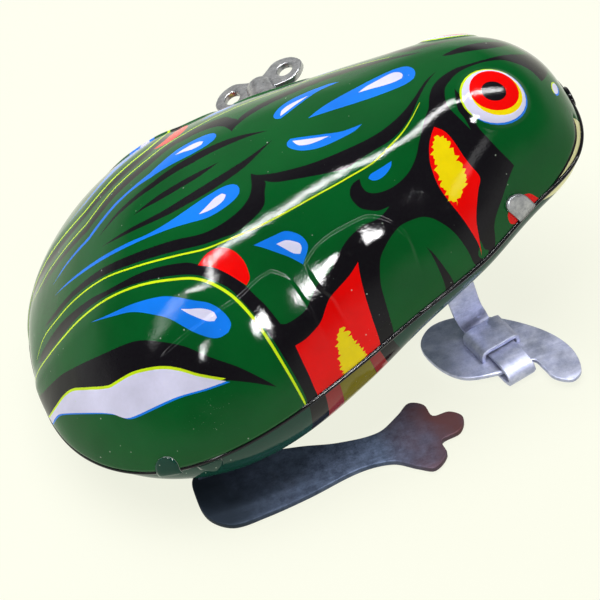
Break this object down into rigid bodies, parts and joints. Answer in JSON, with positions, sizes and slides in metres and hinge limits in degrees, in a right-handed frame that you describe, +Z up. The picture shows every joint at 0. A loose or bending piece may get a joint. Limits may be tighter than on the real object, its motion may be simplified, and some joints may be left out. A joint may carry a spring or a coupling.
{
  "type": "wind-up jumping frog toy",
  "caption": "Printed tin wind-up toy frog: a domed body over a spring motor that kicks two hinged sheet-steel rear legs, with fixed front feet and a side key.",
  "frame": {"origin": "on the ground, under the centre of the whole toy with its key", "axes": "+X towards the snout, +Y to the frog's left, +Z up"},
  "size_m": [0.0712, 0.0556, 0.0347],
  "materials": {
    "lacquered_tin": "gloss lithographed lacquer over tinplate, green with black, red, yellow, blue and white shapes",
    "plated_steel": "zinc-plated steel, soft sheen",
    "brass": "stamped brass",
    "spring_steel": "tempered spring steel, dark oil sheen",
    "dark_steel": "bare sheet steel, dark blue-grey with rolling marks",
    "light_steel": "bare tinplate, light grey with fine scratches"
  },
  "bodies": {
    "root": {"top_shell": "lacquered_tin", "belly_shell": "lacquered_tin", "frame_plate_left": "plated_steel", "frame_plate_right": "plated_steel", "frame_pillar_rear": "plated_steel", "frame_pillar_front": "plated_steel", "spring_post": "plated_steel", "mainspring": "spring_steel", "leg_axle": "plated_steel", "leg_return_spring": "spring_steel", "front_leg_left": "light_steel", "front_leg_right": "light_steel", "front_leg_rivet_left": "light_steel", "front_leg_rivet_right": "light_steel", "front_foot_left": "light_steel", "front_foot_right": "light_steel"},
    "winding": {"winding_shaft": "plated_steel", "winding_key": "plated_steel", "ratchet_wheel": "plated_steel"},
    "great_wheel_set": {"great_wheel": "brass", "click_rivet": "plated_steel", "click_spring": "spring_steel"},
    "click": {"click_pawl": "spring_steel"},
    "kick_wheel_set": {"kick_shaft": "plated_steel", "kick_pinion": "brass", "kick_wheel": "plated_steel"},
    "rear_legs": {"kick_yoke": "plated_steel", "rear_leg_left": "dark_steel", "rear_leg_right": "dark_steel"}
  },
  "joints": [
    {"name": "key_turn", "type": "hinge", "parent": "root", "child": "winding", "pos_m": [0.00238, 0, 0.01927], "axis": [0, 1, 0], "continuous": true},
    {"name": "great_wheel_turn", "type": "hinge", "parent": "root", "child": "great_wheel_set", "pos_m": [0.00238, 0, 0.01927], "axis": [0, 1, 0], "continuous": true},
    {"name": "kick_wheel_turn", "type": "hinge", "parent": "root", "child": "kick_wheel_set", "pos_m": [-0.00661, 0, 0.0188], "axis": [0, 1, 0], "continuous": true},
    {"name": "click_lift", "type": "hinge", "parent": "great_wheel_set", "child": "click", "pos_m": [0.001, 0, 0.02407], "axis": [0, -1, 0], "range_deg": [0, 12], "stiffness_Nm_per_rad": 0.00002, "springref_deg": -17.19},
    {"name": "rear_legs_kick", "type": "hinge", "parent": "root", "child": "rear_legs", "pos_m": [-0.01822, 0, 0.01052], "axis": [0, 1, 0], "range_deg": [0, 18], "stiffness_Nm_per_rad": 0.004, "springref_deg": -28.65}
  ],
  "couplings": [
    {"joint": "great_wheel_turn", "follows": "key_turn", "ratio": 1},
    {"joint": "kick_wheel_turn", "follows": "key_turn", "ratio": -4}
  ]
}
